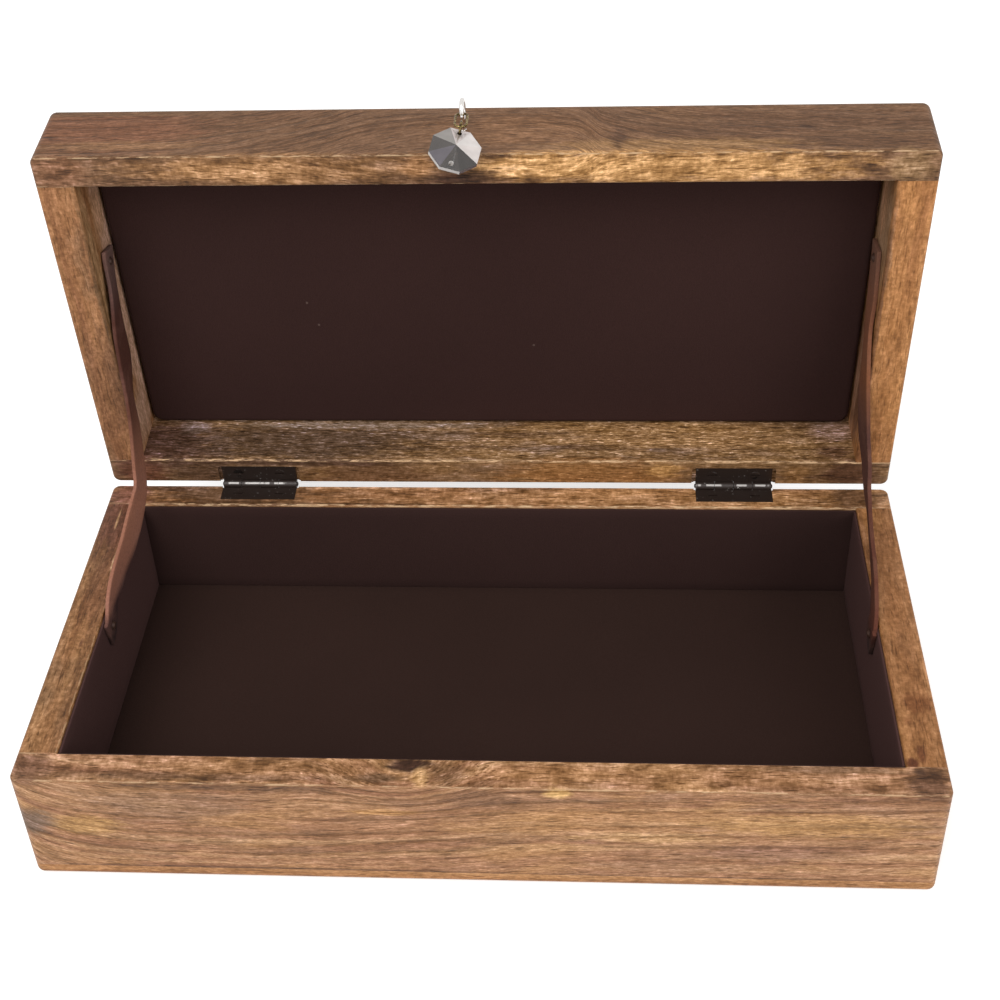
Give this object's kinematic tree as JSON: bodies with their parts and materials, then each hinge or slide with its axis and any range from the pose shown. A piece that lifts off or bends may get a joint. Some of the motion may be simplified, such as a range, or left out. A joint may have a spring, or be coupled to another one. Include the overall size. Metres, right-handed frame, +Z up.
{
  "type": "trinket box",
  "caption": "Shallow wooden keepsake box with a felt-lined tray, a hinged lined lid held by leather straps, and a crystal drop on a screw eye as the lid's pull.",
  "frame": {"origin": "centre of the tray's underside", "axes": "+X along the box's length and the hinge line, to the right seen from the front; +Y to the back, where the hinges are; +Z up. The lid stands open at rest, as pictured."},
  "size_m": [0.26, 0.1568, 0.1827],
  "materials": {
    "rail_wood": "waxed, satin",
    "board_wood": "waxed, satin",
    "lining_felt": "flocked, matt",
    "nail_steel": "bright",
    "tack_steel": "browned",
    "hinge_black": "black, worn bright on the knuckles",
    "strap_leather": "suede, matt",
    "eye_steel": "nickel plated",
    "ring_brass": "bright",
    "crystal_glass": "polished facets"
  },
  "bodies": {
    "tray": {"tray_bottom_board": "board_wood", "tray_front_rail": "rail_wood", "tray_back_rail": "rail_wood", "tray_left_rail": "rail_wood", "tray_right_rail": "rail_wood", "tray_floor_lining": "lining_felt", "tray_front_lining": "lining_felt", "tray_back_lining": "lining_felt", "tray_left_lining": "lining_felt", "tray_right_lining": "lining_felt", "tray_corner_nails": "nail_steel", "tray_board_nails": "nail_steel", "left_hinge_tray_leaf": "hinge_black", "right_hinge_tray_leaf": "hinge_black", "left_hinge_pin": "hinge_black", "right_hinge_pin": "hinge_black", "tray_hinge_screws": "hinge_black", "left_strap": "strap_leather", "right_strap": "strap_leather", "tray_strap_tacks": "tack_steel"},
    "lid": {"lid_top_board": "board_wood", "lid_front_rail": "rail_wood", "lid_back_rail": "rail_wood", "lid_left_rail": "rail_wood", "lid_right_rail": "rail_wood", "lid_lining_pad": "lining_felt", "lid_corner_nails": "nail_steel", "lid_board_nails": "nail_steel", "left_hinge_lid_leaf": "hinge_black", "right_hinge_lid_leaf": "hinge_black", "lid_hinge_screws": "hinge_black", "lid_strap_tacks": "tack_steel", "screw_eye": "eye_steel"},
    "link": {"pull_link": "ring_brass"},
    "ring": {"pull_ring": "ring_brass"},
    "crystal": {"pull_crystal": "crystal_glass"}
  },
  "joints": [
    {"name": "lid_hinge", "type": "hinge", "parent": "tray", "child": "lid", "pos_m": [0, 0.0655, 0.04165], "axis": [-1, 0, 0], "range_deg": [-85, 25], "deforming": ["left_strap", "right_strap"]},
    {"name": "link_swing", "type": "hinge", "parent": "lid", "child": "link", "pos_m": [-0.00475, 0.06708, 0.17901], "axis": [-1, 0, 0], "range_deg": [0, 110]},
    {"name": "ring_swing", "type": "hinge", "parent": "link", "child": "ring", "pos_m": [-0.00475, 0.05944, 0.17868], "axis": [0, 0.0436, -0.999], "range_deg": [-35, 35]},
    {"name": "crystal_swing", "type": "hinge", "parent": "ring", "child": "crystal", "pos_m": [-0.00475, 0.0562, 0.17853], "axis": [-0.9781, -0.0091, 0.2077], "range_deg": [0, 75]}
  ]
}
